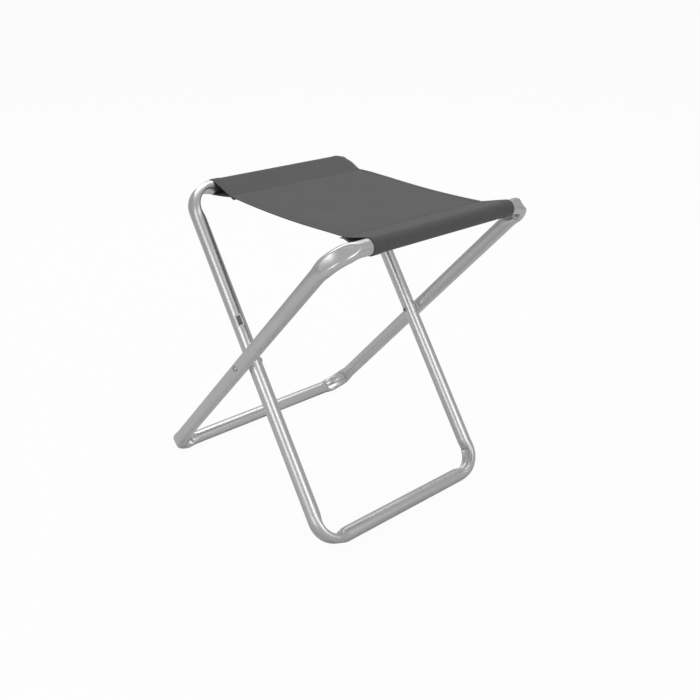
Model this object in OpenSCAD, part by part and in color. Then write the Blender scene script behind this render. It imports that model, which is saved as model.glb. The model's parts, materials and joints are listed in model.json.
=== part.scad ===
// Folding camp stool. Two crossed loops of bent aluminium tube are riveted together
// where their legs cross, and a woven seat is sewn round the two top rails.
// X runs along the rails, the inner frame's top rail is at +Y and the outer frame's
// at -Y. The origin is on the ground under the middle of the bounding box.

/* [Frame tube] */
// Outside diameter of the frame tube
tube_d = 20; // [16:0.5:25]
// Wall of the frame tube
tube_wall = 1.2; // [0.8:0.1:2]
// Radius of the corner bends, to the middle of the tube
bend_r = 33; // [28:1:50]
// Gap between a loop's two ends, in the middle of its top rail
butt_gap = 0.6; // [0.2:0.1:2]

/* [Stance] */
// Height of both top rails' axes above the ground
rail_z = 426.5; // [340:0.5:520]
// Height of the pivots above the ground
pivot_z = 220.5; // [170:0.5:270]
// Width of the outer frame between its legs' axes
outer_w = 340; // [280:1:420]
// Horizontal distance from the pivots to the inner frame's top rail
inner_reach = 145; // [110:1:180]
// Space left between the two covered top rails when the frames lie folded
nest_gap = 3.8; // [2:0.1:10]
// Space between the crossing legs, side by side
leg_gap = 2; // [1:0.1:5]

/* [Rail joints] */
// Length of the ferrule inside each top rail
ferrule_len = 60; // [30:1:90]
// Wall of the ferrule
ferrule_wall = 1.5; // [1:0.1:2.5]
// Radial clearance between ferrule and tube
ferrule_fit = 0.05; // [0.02:0.01:0.1]

/* [Pivots] */
// Diameter of the rivet's shank
rivet_d = 5; // [4:0.1:6]
// Radial clearance between the shank and every hole
rivet_fit = 0.05; // [0.02:0.01:0.1]
// Diameter of the rivet's domed head
head_d = 9; // [7.5:0.1:12]
// Height of the domed head
head_h = 2.4; // [1.5:0.1:4]
// Diameter of the rolled end inside the inner leg
roll_d = 7.2; // [6.5:0.1:9]
// Thickness of the rolled end
roll_t = 1.6; // [1:0.1:2.2]
// Diameter of the hollow in the rolled end
hollow_d = 3; // [2:0.1:3.4]
// Depth of the hollow
hollow_depth = 6; // [3:0.1:10]
// Diameter of the spacer between the legs
spacer_d = 11; // [9:0.1:15]
// How far the spacer's saddle reaches over the outer leg
saddle_depth = 1.2; // [0.5:0.1:1.4]
// Axial play of the inner leg between the spacer and the rolled end
pivot_play = 0.1; // [0.05:0.05:0.5]

/* [Seat] */
// Width of the seat cloth along the rails
seat_w = 244; // [180:1:260]
// How far the cloth has slid along the rails from the middle
seat_shift = 17; // [0:1:20]
// Thickness of the cloth
cloth_t = 1; // [0.6:0.1:1.4]
// Radial clearance between a rail and the sleeve round it
sleeve_fit = 0.1; // [0.05:0.05:0.5]
// Distance from a rail's axis to the seam that closes its sleeve
seam_in = 50; // [35:1:65]
// Drop of the seat's mid-surface below the rails' axes
seat_drop = 6; // [2:0.5:8]
// Space between the seat and the sleeve on the moving rail
sleeve_gap = 0.3; // [0.3:0.1:1]
// Width of the side hems
hem_w = 12; // [6:1:20]
// Width of a row of stitching
stitch_w = 0.8; // [0.5:0.1:1.5]
// Depth to which a row of stitching is drawn into the cloth
stitch_h = 0.3; // [0.2:0.1:0.5]
// Distance of a hem's stitching from the cloth's edge
stitch_in = 9; // [4:1:11]

/* [Label] */
// Length of the label along the leg
label_len = 20; // [12:1:30]
// Width of the label round the leg
label_w = 7; // [5:0.5:9]
// Thickness of the label
label_t = 0.15; // [0.1:0.05:0.3]
// Distance of the label's middle above the pivot, along the leg
label_up = 54; // [30:1:90]
// Turn of the label round the leg, from the outward side to the front
label_turn = 39; // [0:1:60]

/* [Hidden] */
$fn = 64;

tube_r = tube_d / 2;
bore_d = tube_d - 2 * tube_wall;

// Each frame stands as a straight line through the pivots, seen from the side.
rise = rail_z - pivot_z;
drop = pivot_z - tube_r;
inner_up = norm([inner_reach, rise]);
outer_up = inner_up + tube_d + 2 * (sleeve_fit + cloth_t) + nest_gap;
outer_reach = sqrt(outer_up * outer_up - rise * rise);
inner_lean = atan2(inner_reach, rise);
outer_lean = atan2(outer_reach, rise);
inner_down = drop / cos(inner_lean);
outer_down = drop / cos(outer_lean);
outer_foot_reach = outer_down * sin(outer_lean);
inner_w = outer_w - 2 * (tube_d + leg_gap);

// The sleeves wrap the rails and leave them along two tangents that meet at the seam.
sleeve_r = tube_r + sleeve_fit;
wrap_r = sleeve_r + cloth_t / 2;
tangent_turn = acos(wrap_r / norm([seam_in, seat_drop]));
seat_x0 = seat_shift - seat_w / 2;
seat_x1 = seat_shift + seat_w / 2;
inner_straight = inner_w / 2 - bend_r;
outer_straight = outer_w / 2 - bend_r;

// The pivots stand where they put the bounding box's middle over the origin.
front_y = outer_reach + sleeve_r + cloth_t;
back_y = outer_foot_reach + tube_r;
pivot_y = (front_y - back_y) / 2;
inner_rail_y = pivot_y + inner_reach;
outer_rail_y = pivot_y - outer_reach;
inner_seam_y = inner_rail_y - seam_in;
outer_seam_y = outer_rail_y + seam_in;
seat_top_z = rail_z - seat_drop + cloth_t / 2;

// The rows of stitching run just inside the seams and the side edges.
outer_row_y = outer_seam_y + 2 * stitch_w;
inner_row_y = inner_seam_y - 3 * stitch_w;
left_row_x = seat_x0 + stitch_in - stitch_w / 2;
right_row_x = seat_x1 - stitch_in - stitch_w / 2;

aluminium = "silver";
bright_metal = "gainsboro";
cloth = "dimgray";
thread = "darkslategray";

// Puts a frame's own plane, X across and Z up its legs, at its lean through the pivots.
module in_frame(lean) {
    translate([0, pivot_y, pivot_z]) rotate([lean, 0, 0]) children();
}

// A bar along X from x0 to x1.
module bar_x(x0, x1, d) {
    translate([x0, 0, 0]) rotate([0, 90, 0]) cylinder(h = x1 - x0, d = d);
}

// The top right quarter of a loop of bar: half a leg, a corner and half a rail. Each
// place is a sum of the same steps, so that the ends meet exactly.
module quarter_loop(half_w, reach, d) {
    across = half_w - bend_r;
    up = reach - bend_r;
    translate([across, 0, 0]) translate([bend_r, 0, 0]) cylinder(h = up, d = d);
    translate([0, 0, up]) {
        translate([across, 0, 0]) rotate([90, 0, 0])
            rotate_extrude(angle = 90) translate([bend_r, 0]) circle(d = d);
        translate([0, 0, bend_r]) rotate([0, 90, 0]) cylinder(h = across, d = d);
    }
}

// A closed loop of bar with four round corners.
module loop(w, up, down, d) {
    for (side = [0, 1]) mirror([side, 0, 0]) {
        quarter_loop(w / 2, up, d);
        mirror([0, 0, 1]) quarter_loop(w / 2, down, d);
    }
}

// One loop of tube, open in the middle of its top rail and drilled at the pivots.
module frame_tube(w, up, down) {
    difference() {
        loop(w, up, down, tube_d);
        loop(w, up, down, bore_d);
        bar_x(-w / 2 - tube_d, w / 2 + tube_d, rivet_d + 2 * rivet_fit);
        translate([-butt_gap / 2, -tube_d, up - tube_d])
            cube([butt_gap, 2 * tube_d, 2 * tube_d]);
    }
}

module outer_frame_tube() {
    color(aluminium) in_frame(outer_lean) frame_tube(outer_w, outer_up, outer_down);
}

module inner_frame_tube() {
    color(aluminium) in_frame(-inner_lean) frame_tube(inner_w, inner_up, inner_down);
}

// A short tube inside a top rail that joins the loop's two ends.
module rail_ferrule(up) {
    ferrule_d = bore_d - 2 * ferrule_fit;
    translate([0, 0, up]) difference() {
        bar_x(-ferrule_len / 2, ferrule_len / 2, ferrule_d);
        bar_x(-ferrule_len, ferrule_len, ferrule_d - 2 * ferrule_wall);
    }
}

module outer_rail_ferrule() {
    color(bright_metal) in_frame(outer_lean) rail_ferrule(outer_up);
}

module inner_rail_ferrule() {
    color(bright_metal) in_frame(-inner_lean) rail_ferrule(inner_up);
}

// Puts what is made for the +X side on either side.
module on_side(side) {
    translate([0, pivot_y, pivot_z]) mirror([side < 0 ? 1 : 0, 0, 0]) children();
}

// A semi-tubular rivet: domed head outside, shank through both legs, rolled end inside.
module pivot_rivet() {
    outside = outer_w / 2 + tube_r;
    end = inner_w / 2 - tube_r - pivot_play - roll_t / 2;
    dome_r = (head_d * head_d / 4 + head_h * head_h) / (2 * head_h);
    rotate([0, 90, 0]) rotate_extrude() difference() {
        union() {
            translate([0, end]) square([rivet_d / 2, outside - end]);
            intersection() {
                translate([0, outside + head_h - dome_r]) circle(r = dome_r);
                translate([0, outside]) square([head_d, head_h]);
            }
            translate([(roll_d - roll_t) / 2, end]) circle(d = roll_t);
        }
        translate([0, end - roll_t]) square([hollow_d / 2, roll_t + hollow_depth]);
        translate([-head_d, end - roll_t]) square([head_d, outside]);
    }
}

module left_pivot_rivet() {
    color(bright_metal) on_side(-1) pivot_rivet();
}

module right_pivot_rivet() {
    color(bright_metal) on_side(1) pivot_rivet();
}

// A washer between the legs: flat against the inner leg, saddled over the outer one.
module pivot_spacer() {
    inner_face = inner_w / 2 + tube_r;
    difference() {
        bar_x(inner_face + pivot_play, inner_face + leg_gap + saddle_depth, spacer_d);
        bar_x(inner_face, inner_face + leg_gap + 2 * saddle_depth, rivet_d + 2 * rivet_fit);
        rotate([outer_lean, 0, 0]) translate([outer_w / 2, 0, -tube_d])
            cylinder(h = 2 * tube_d, d = tube_d);
    }
}

module left_pivot_spacer() {
    color("whitesmoke") on_side(-1) pivot_spacer();
}

module right_pivot_spacer() {
    color("whitesmoke") on_side(1) pivot_spacer();
}

// Extrudes a profile drawn in Y and Z along X, from x0 to x1.
module along_x(x0, x1) {
    translate([x0, 0, 0]) rotate([90, 0, 90]) linear_extrude(height = x1 - x0) children();
}

// The direction, in the YZ plane, from a rail's axis to its seam.
function seam_turn(inboard) = atan2(-seat_drop, inboard * seam_in);

function on_circle(r, turn) = [r * cos(turn), r * sin(turn)];

// One layer of cloth from a sleeve's end to the seam. "turn" is where it leaves the rail.
module ply(rail_y, inboard, layer, gap) {
    turn = seam_turn(inboard) + layer * tangent_turn;
    rail = [rail_y, rail_z];
    seam = rail + [inboard * seam_in, -seat_drop];
    out = on_circle(cloth_t / 2, turn);
    start = rail + on_circle(wrap_r, turn);
    away = (seam - start) / norm(seam - start) * gap;
    polygon([start - out + away, start + out + away, seam + out, seam - out]);
}

// The cloth's width over a rail, short of the bend at either end.
function over_rail(straight) = [max(seat_x0, -straight), min(seat_x1, straight)];

// The middle of the seat, with the layers that run to the two sleeves. The stitching
// lies in grooves in its top.
module seat_panel() {
    groove_h = 2 * stitch_h;
    color(cloth) difference() {
        union() {
            along_x(seat_x0, seat_x1)
                translate([outer_seam_y, rail_z - seat_drop - cloth_t / 2])
                    square([inner_seam_y - outer_seam_y, cloth_t]);
            along_x(seat_x0, seat_x1) ply(outer_rail_y, 1, 1, 0);
            along_x(seat_x0, seat_x1) ply(inner_rail_y, -1, -1, sleeve_gap);
            outer_x = over_rail(outer_straight);
            inner_x = over_rail(inner_straight);
            along_x(outer_x[0], outer_x[1]) ply(outer_rail_y, 1, -1, 0);
            along_x(inner_x[0], inner_x[1]) ply(inner_rail_y, -1, 1, sleeve_gap);
        }
        seam_row(outer_row_y, groove_h);
        seam_row(inner_row_y, groove_h);
        hem_row(left_row_x, groove_h);
        hem_row(right_row_x, groove_h);
    }
}

// Cloth wrapped round the outside of a rail, between the two tangents.
module rail_sleeve(rail_y, inboard, x) {
    translate([x[0], rail_y, rail_z]) rotate([90, 0, 90])
        rotate([0, 0, seam_turn(inboard) + tangent_turn])
            rotate_extrude(angle = 360 - 2 * tangent_turn)
                translate([sleeve_r, 0]) square([cloth_t, x[1] - x[0]]);
}

module outer_rail_sleeve() {
    color(cloth) rail_sleeve(outer_rail_y, 1, over_rail(outer_straight));
}

module inner_rail_sleeve() {
    color(cloth) rail_sleeve(inner_rail_y, -1, over_rail(inner_straight));
}

// The cloth's side edge, turned under between the two seams.
module side_hem(x0) {
    translate([x0, outer_seam_y + hem_w, rail_z - seat_drop - 1.5 * cloth_t])
        cube([hem_w, inner_seam_y - outer_seam_y - 2 * hem_w, cloth_t]);
}

module left_side_hem() {
    color(cloth) side_hem(seat_x0);
}

module right_side_hem() {
    color(cloth) side_hem(seat_x1 - hem_w);
}

// A row of stitching across the seat, from the bottom of its groove up.
module seam_row(y, h) {
    translate([seat_x0 + stitch_w, y, seat_top_z - stitch_h])
        cube([seat_w - 2 * stitch_w, stitch_w, h]);
}

module outer_seam_stitching() {
    color(thread) seam_row(outer_row_y, stitch_h);
}

module inner_seam_stitching() {
    color(thread) seam_row(inner_row_y, stitch_h);
}

// A row of stitching along a side hem, from the bottom of its groove up.
module hem_row(x, h) {
    translate([x, outer_seam_y + hem_w, seat_top_z - stitch_h])
        cube([stitch_w, inner_seam_y - outer_seam_y - 2 * hem_w, h]);
}

module left_hem_stitching() {
    color(thread) hem_row(left_row_x, stitch_h);
}

module right_hem_stitching() {
    color(thread) hem_row(right_row_x, stitch_h);
}

// A blank sticker bent round the inner frame's left leg.
module frame_label() {
    turn = label_w / tube_r * 180 / PI;
    color("white") in_frame(-inner_lean)
        translate([-inner_w / 2, 0, label_up - label_len / 2])
            rotate([0, 0, 180 + label_turn - turn / 2]) rotate_extrude(angle = turn)
                translate([tube_r, 0]) square([label_t, label_len]);
}

outer_frame_tube();
inner_frame_tube();
outer_rail_ferrule();
inner_rail_ferrule();
left_pivot_rivet();
right_pivot_rivet();
left_pivot_spacer();
right_pivot_spacer();
seat_panel();
outer_rail_sleeve();
inner_rail_sleeve();
left_side_hem();
right_side_hem();
outer_seam_stitching();
inner_seam_stitching();
left_hem_stitching();
right_hem_stitching();
frame_label();
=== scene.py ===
"""Folding camp stool: the looks of its tube loops, its fittings and its woven seat."""

import json
import math

import bmesh
import bpy
import numpy as np
from bpy.props import FloatProperty, FloatVectorProperty, IntProperty, PointerProperty
from mathutils import Matrix, Vector, noise


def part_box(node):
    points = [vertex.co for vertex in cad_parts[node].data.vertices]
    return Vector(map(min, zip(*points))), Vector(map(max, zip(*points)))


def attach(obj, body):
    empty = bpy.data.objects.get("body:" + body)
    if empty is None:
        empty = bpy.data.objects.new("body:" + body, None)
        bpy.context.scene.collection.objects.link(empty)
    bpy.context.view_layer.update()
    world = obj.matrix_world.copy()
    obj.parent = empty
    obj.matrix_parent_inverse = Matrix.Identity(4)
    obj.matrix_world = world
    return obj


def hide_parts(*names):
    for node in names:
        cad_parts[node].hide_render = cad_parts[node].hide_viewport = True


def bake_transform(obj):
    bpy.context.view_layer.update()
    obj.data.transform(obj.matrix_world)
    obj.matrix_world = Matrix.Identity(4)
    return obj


bl_info = {
    "name": "Folding camp stool",
    "version": (1, 0, 0),
    "blender": (4, 5, 0),
    "location": "View3D > Sidebar > Camp stool",
    "description": "Models a folding camp stool of bent tube and woven cloth on its packed frame",
    "category": "Add Mesh",
}

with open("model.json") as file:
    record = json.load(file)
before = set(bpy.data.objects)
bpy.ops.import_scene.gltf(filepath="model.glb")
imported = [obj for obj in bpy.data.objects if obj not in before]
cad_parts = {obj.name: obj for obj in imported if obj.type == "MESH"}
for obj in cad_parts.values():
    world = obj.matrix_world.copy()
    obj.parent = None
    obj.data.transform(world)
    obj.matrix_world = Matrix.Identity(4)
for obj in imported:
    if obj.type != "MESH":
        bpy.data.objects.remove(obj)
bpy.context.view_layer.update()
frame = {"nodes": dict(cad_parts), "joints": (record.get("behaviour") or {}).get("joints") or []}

MM = 0.001
PIVOT = Vector(frame["joints"][0]["pos_m"])
LOOPS = {
    "outer": {"tube": "outer_frame_tube", "ferrule": "outer_rail_ferrule", "body": "outer_frame"},
    "inner": {"tube": "inner_frame_tube", "ferrule": "inner_rail_ferrule", "body": "inner_frame"},
}


def middle(node):
    """The middle of a CAD node's box."""
    low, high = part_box(node)
    return (low + high) / 2


def loop_measures(which):
    """A frame loop's half width, lean and reach above and below the pivots."""
    names = LOOPS[which]
    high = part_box(names["tube"])[1]
    rail = middle(names["ferrule"])
    tube_r = high.z - rail.z
    lever = rail - PIVOT
    lean = math.atan2(-lever.y, lever.z)
    return {
        "rail": rail,
        "tube_r": tube_r,
        "half": high.x - tube_r,
        "lean": lean,
        "up": math.hypot(lever.y, lever.z),
        "down": (PIVOT.z - tube_r) / math.cos(lean),
    }


TUBE_R = loop_measures("outer")["tube_r"]
RAILS = {which: loop_measures(which)["rail"] for which in LOOPS}


class CampStoolFrame(bpy.types.PropertyGroup):
    """Sizes and colour of the tube loops."""

    bend_radius: FloatProperty(
        name="Bend radius",
        description="Radius of the corner bends, to the middle of the tube",
        default=0.033,
        unit="LENGTH",
    )
    tube_wall: FloatProperty(
        name="Tube wall", description="Wall of the frame tube", default=0.0012, unit="LENGTH"
    )
    butt_gap: FloatProperty(
        name="Butt gap",
        description="Gap between a loop's two ends, inside the seat's sleeve",
        default=0.0006,
        unit="LENGTH",
    )
    rivet_hole: FloatProperty(
        name="Rivet hole", description="Diameter of the pivot holes", default=0.0051, unit="LENGTH"
    )
    sides: IntProperty(
        name="Sides", description="Number of faces round the tube", default=56, min=16
    )
    bend_steps: IntProperty(
        name="Bend steps", description="Number of faces along each bend", default=48, min=12
    )
    colour: FloatVectorProperty(
        name="Tube colour",
        description="Colour of the bare drawn aluminium",
        subtype="COLOR",
        size=3,
        min=0,
        max=1,
        default=(0.77, 0.77, 0.775),
    )


class CampStoolSeat(bpy.types.PropertyGroup):
    """Sizes and colours of the seat cloth."""

    cloth: FloatProperty(
        name="Cloth thickness", description="Thickness of the seat cloth", default=0.0006, unit="LENGTH"
    )
    inner_seam: FloatProperty(
        name="Inner seam distance",
        description="Distance from the inner rail's axis to the seam that closes its sleeve",
        default=0.044,
        unit="LENGTH",
    )
    outer_seam: FloatProperty(
        name="Outer seam distance",
        description="Distance from the outer rail's axis to the seam that closes its sleeve",
        default=0.050,
        unit="LENGTH",
    )
    tab: FloatProperty(
        name="Tab",
        description="Length of cloth left under the seat past a seam",
        default=0.010,
        unit="LENGTH",
    )
    sag: FloatProperty(
        name="Sag",
        description="How far the middle of the seat hangs below its seams",
        default=0.004,
        unit="LENGTH",
    )
    hem: FloatProperty(
        name="Hem", description="Width of the side hems", default=0.012, unit="LENGTH"
    )
    stitch_pitch: FloatProperty(
        name="Stitch pitch",
        description="Distance from one stitch to the next",
        default=0.0036,
        unit="LENGTH",
    )
    colour: FloatVectorProperty(
        name="Cloth colour",
        description="Colour of the coated woven cloth",
        subtype="COLOR",
        size=3,
        min=0,
        max=1,
        default=(0.098, 0.098, 0.101),
    )
    thread_colour: FloatVectorProperty(
        name="Thread colour",
        description="Colour of the sewing thread",
        subtype="COLOR",
        size=3,
        min=0,
        max=1,
        default=(0.085, 0.085, 0.088),
    )


class CampStoolStage(bpy.types.PropertyGroup):
    """The floor, the lights and the camera."""

    floor_size: FloatProperty(
        name="Floor size", description="Side of the square floor", default=60.0, unit="LENGTH"
    )
    sky: FloatProperty(name="Surround", description="Brightness of the surround", default=0.42)
    lens: FloatProperty(
        name="Lens", description="The camera's focal length, in millimetres", default=45.82
    )


# Tools for making meshes


def start_fresh():
    """Leaves edit mode with nothing selected."""
    if bpy.context.object and bpy.context.object.mode != "OBJECT":
        bpy.ops.object.mode_set(mode="OBJECT")
    bpy.ops.object.select_all(action="DESELECT")


def take(obj):
    """Makes one object the only one selected."""
    start_fresh()
    obj.select_set(True)
    bpy.context.view_layer.objects.active = obj


def settle(obj):
    """Moves an object's place and turn into its mesh."""
    take(obj)
    bpy.ops.object.transform_apply(location=True, rotation=True, scale=True)


def modify(obj, kind, **settings):
    """Adds a modifier with its settings and applies it."""
    take(obj)
    modifier = obj.modifiers.new(kind.title(), kind)
    for key, value in settings.items():
        setattr(modifier, key, value)
    bpy.ops.object.modifier_apply(modifier=modifier.name)


def face_out(obj):
    """Turns every face outwards and shades the mesh smooth."""
    take(obj)
    bpy.ops.object.mode_set(mode="EDIT")
    bpy.ops.mesh.select_all(action="SELECT")
    bpy.ops.mesh.normals_make_consistent(inside=False)
    bpy.ops.object.mode_set(mode="OBJECT")
    bpy.ops.object.shade_smooth()


def dress(obj, material):
    """Gives a piece its one material."""
    obj.data.materials.clear()
    obj.data.materials.append(material)


def vertex_places(mesh):
    """The places of a mesh's vertices, as rows of an array."""
    places = np.empty(len(mesh.vertices) * 3)
    mesh.vertices.foreach_get("co", places)
    return places.reshape(-1, 3)


def put_vertices(mesh, places):
    """Moves a mesh's vertices to new places."""
    mesh.vertices.foreach_set("co", places.ravel())
    mesh.update()


def keep_attribute(mesh, name, kind, values):
    """Stores one value for each vertex, for a material to read."""
    attribute = mesh.attributes.new(name, kind, "POINT")
    field = "vector" if kind == "FLOAT_VECTOR" else "value"
    attribute.data.foreach_set(field, np.asarray(values, np.float32).ravel())


def ease(start, end, value):
    """0 before start, 1 after end and a smooth step between them."""
    t = np.clip((value - start) / (end - start), 0, 1)
    return t * t * (3 - 2 * t)


def soft_least(first, second, blend):
    """The smaller of two heights, rounded where they cross."""
    return -blend * np.logaddexp(-first / blend, -second / blend)


# The tube loops

FINE_STEP = 1.4 * MM
FINE_COUNT = 10
LONG_STEP = 60 * MM

# One half of the tube's section in the middle of a bend, from its outer side round to its
# inner side: a half width and a height for each point, in millimetres. The press widens
# the tube to this section, flattens its outer side and stamps a hollow in its inner side.
WIDENED_SECTION = [
    (0.0, 9.0), (3.0, 8.9), (6.0, 8.2), (8.8, 6.6), (11.0, 3.6), (12.2, 0.4),
    (11.7, -1.8), (10.2, -3.4), (7.8, -4.0), (4.0, -4.3), (0.0, -4.3),
]
FLAT_HEIGHT = 7.7
FLAT_HALF_LENGTH = 23.0
FLAT_SHIFT = 3.0
FLAT_DISH = 0.8
STAMP_HEIGHT = -0.8
STAMP_HALF_LENGTH = 21.0
STAMP_RADIUS = 9.0


def run_steps(length, bend_before, bend_after):
    """Step lengths along a straight run of tube, short where it meets a bend."""
    fine = [FINE_STEP] * FINE_COUNT
    rest = length - (bend_before + bend_after) * FINE_STEP * FINE_COUNT
    count = max(1, round(rest / LONG_STEP))
    return fine * bend_before + [rest / count] * count + fine * bend_after


def extrude_run(steps, heading):
    """Draws the open end of the tube along a straight run."""
    for step in steps:
        bpy.ops.mesh.extrude_region_move(
            TRANSFORM_OT_translate={"value": tuple(step * part for part in heading)}
        )


def spin_corner(centre, steps):
    """Draws the open end of the tube round one corner."""
    bpy.ops.mesh.spin(steps=steps, angle=-math.pi / 2, center=centre, axis=(0, 1, 0))


def draw_loop(which, sizes):
    """Draws a plain round loop flat in X and Z, with the pivots on the X axis."""
    loop = loop_measures(which)
    bend = sizes.bend_radius
    gap = sizes.butt_gap / 2
    across = loop["half"] - bend
    top = loop["up"] - bend
    bottom = loop["down"] - bend
    start_fresh()
    bpy.ops.mesh.primitive_circle_add(
        vertices=sizes.sides,
        radius=loop["tube_r"],
        fill_type="NOTHING",
        location=(gap, 0, loop["up"]),
        rotation=(0, math.pi / 2, 0),
    )
    tube = bpy.context.object
    tube.name = f"{which}_frame_loop"
    settle(tube)
    bpy.ops.object.mode_set(mode="EDIT")
    bpy.ops.mesh.select_all(action="SELECT")
    extrude_run(run_steps(across - gap, False, True), (1, 0, 0))
    spin_corner((across, 0, top), sizes.bend_steps)
    extrude_run(run_steps(top + bottom, True, True), (0, 0, -1))
    spin_corner((across, 0, -bottom), sizes.bend_steps)
    extrude_run(run_steps(2 * across, True, True), (-1, 0, 0))
    spin_corner((-across, 0, -bottom), sizes.bend_steps)
    extrude_run(run_steps(top + bottom, True, True), (0, 0, 1))
    spin_corner((-across, 0, top), sizes.bend_steps)
    extrude_run(run_steps(across - gap, True, False), (1, 0, 0))
    bpy.ops.mesh.select_all(action="SELECT")
    bpy.ops.mesh.remove_doubles(threshold=0.01 * MM)
    face_out(tube)
    return tube


def section_curve(points, samples):
    """A smooth curve through half a section, evenly spaced from one end to the other."""
    points = np.array(points)
    ends = [points[1] * (-1, 1)], [points[-2] * (-1, 1)]
    knots = np.vstack([ends[0], points, ends[1]])
    drawn = []
    for i in range(1, len(knots) - 2):
        a, b, c, d = knots[i - 1 : i + 3]
        for t in np.linspace(0, 1, 16, endpoint=False):
            drawn.append(
                0.5 * (2 * b + (c - a) * t + (2 * a - 5 * b + 4 * c - d) * t**2
                       + (3 * b - a - 3 * c + d) * t**3)
            )
    drawn = np.array(drawn + [points[-1]])
    length = np.concatenate([[0], np.cumsum(np.hypot(*np.diff(drawn, axis=0).T))])
    even = np.linspace(0, length[-1], samples)
    return np.interp(even, length, drawn[:, 0]), np.interp(even, length, drawn[:, 1])


def press_bends(tube, which, sizes):
    """Presses the four bends flat on the outside and hollow on the inside, as a bending
    press leaves them, and keeps each vertex's place on the unbent tube."""
    loop = loop_measures(which)
    bend = sizes.bend_radius
    tube_r = loop["tube_r"]
    places = vertex_places(tube.data)
    x, n, z = places.T
    reach = np.where(z > 0, loop["up"], loop["down"])
    over_x = np.abs(x) - (loop["half"] - bend)
    over_z = np.abs(z) - (reach - bend)
    in_bend = (over_x > 0) & (over_z > 0)
    on_leg = ~in_bend & (over_z <= 0)
    turn = np.where(in_bend, np.arctan2(over_z, over_x), np.where(on_leg, 0, math.pi / 2))
    half_arc = bend * math.pi / 4
    station = np.where(
        in_bend,
        (turn - math.pi / 4) * bend,
        np.where(on_leg, over_z - half_arc, half_arc - over_x),
    ) / MM
    outward = np.where(
        in_bend, np.hypot(over_x, over_z) - bend, np.where(on_leg, over_x, over_z) - bend
    )
    angle = np.arctan2(n, outward)

    width, height = section_curve(WIDENED_SECTION, 400)
    share = np.abs(angle) / math.pi
    at = np.linspace(0, 1, 400)
    widened = ease(-36, -14, station) * (1 - ease(12, 30, station))
    wide_n = n / MM + widened * (np.sign(n) * np.interp(share, at, width) - n / MM)
    wide_r = outward / MM + widened * (np.interp(share, at, height) - outward / MM)
    rise = 2.9 * ((station - FLAT_SHIFT) / FLAT_HALF_LENGTH) ** 4
    dish = FLAT_DISH * np.maximum(1 - (wide_n / 8) ** 2, 0)
    flat = FLAT_HEIGHT + rise - dish
    off_end = np.abs(station)
    edge = STAMP_HALF_LENGTH
    end_drop = 4.4 * ease(edge - 1.2, edge + 1.4, off_end) + 5.6 * ease(edge, edge + 16, off_end)
    stamp = STAMP_HEIGHT - end_drop - wide_n**2 / (2 * STAMP_RADIUS)
    new_n = wide_n * MM
    new_r = soft_least(wide_r, flat, 0.22)
    new_r = -soft_least(-new_r, -stamp, 0.28) * MM

    line_x = np.where(in_bend, bend * np.cos(turn), np.where(on_leg, bend, over_x))
    line_z = np.where(in_bend, bend * np.sin(turn), np.where(on_leg, over_z, bend))
    new_x = line_x + new_r * np.cos(turn) + loop["half"] - bend
    new_z = line_z + new_r * np.sin(turn) + reach - bend
    put_vertices(tube.data, np.column_stack([np.sign(x) * new_x, new_n, np.sign(z) * new_z]))

    run = loop["half"] - bend + half_arc - station * MM
    top_length, bottom_length = (
        loop["half"] - bend + 2 * half_arc + loop[way] - bend for way in ("up", "down")
    )
    along = np.where(z > 0, run, top_length + bottom_length - run)
    along = np.where(x > 0, along, 2 * (top_length + bottom_length) - along)
    unrolled = np.column_stack([tube_r * np.cos(angle), tube_r * np.sin(angle), along])
    keep_attribute(tube.data, "drawn_place", "FLOAT_VECTOR", unrolled)
    touch = np.exp(-(((wide_r - flat) / 0.5) ** 2)) + np.exp(-(((wide_r - stamp) / 0.6) ** 2))
    keep_attribute(tube.data, "press_mark", "FLOAT", np.clip(touch * widened, 0, 1))


def drill_pivots(tube, half, diameter):
    """Cuts the two rivet holes through both legs."""
    start_fresh()
    bpy.ops.mesh.primitive_cylinder_add(
        vertices=32, radius=diameter / 2, depth=2 * half + 4 * TUBE_R, rotation=(0, math.pi / 2, 0)
    )
    drill = bpy.context.object
    settle(drill)
    modify(tube, "BOOLEAN", operation="DIFFERENCE", solver="EXACT", object=drill)
    bpy.data.objects.remove(drill)


def make_loop(which, sizes, material):
    """Makes one loop of bent tube in its place."""
    loop = loop_measures(which)
    tube = draw_loop(which, sizes)
    press_bends(tube, which, sizes)
    modify(tube, "SOLIDIFY", thickness=sizes.tube_wall, offset=-1, use_rim=True)
    drill_pivots(tube, loop["half"], sizes.rivet_hole)
    tube.rotation_euler = (loop["lean"], 0, 0)
    tube.location = PIVOT
    settle(tube)
    bpy.ops.object.shade_smooth_by_angle(angle=math.radians(50))
    dress(tube, material)
    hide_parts(LOOPS[which]["tube"])
    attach(tube, LOOPS[which]["body"])
    return tube


# The seat cloth

HEM_GAP = 0.72 * MM
SLEEVE_STEPS = (0, 1, 2, 3, 4, 4.75, 5)
# Where the cloth's two side edges lie, in millimetres along the rails. A sleeve's edges
# are given at its tab, at its seam below, under the rail, outside it, on top of it, near
# its seam above and at it, and the panel's at places from the inner seam to the outer one.
SLEEVE_EDGES = {
    "inner": {
        "left": (-111, -109, -109.5, -109.5, -109.5, -109.5, -109.5),
        "right": (131, 129, 115, 129, 136.5, 129.5, 131),
    },
    "outer": {
        "left": (-108, -110, -117, -117, -117, -109, -106.5),
        "right": (135, 133, 128.5, 128.5, 128.5, 135, 137.5),
    },
}
PANEL_EDGE_PLACES = (99.5, 80, 40, 0, -40, -100, -138)
PANEL_EDGES = {
    "left": (-109.5, -109.5, -109, -108.2, -107.2, -105.5, -106.5),
    "right": (131, 136.5, 139.5, 139.5, 139, 138.5, 137.5),
}


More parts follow.
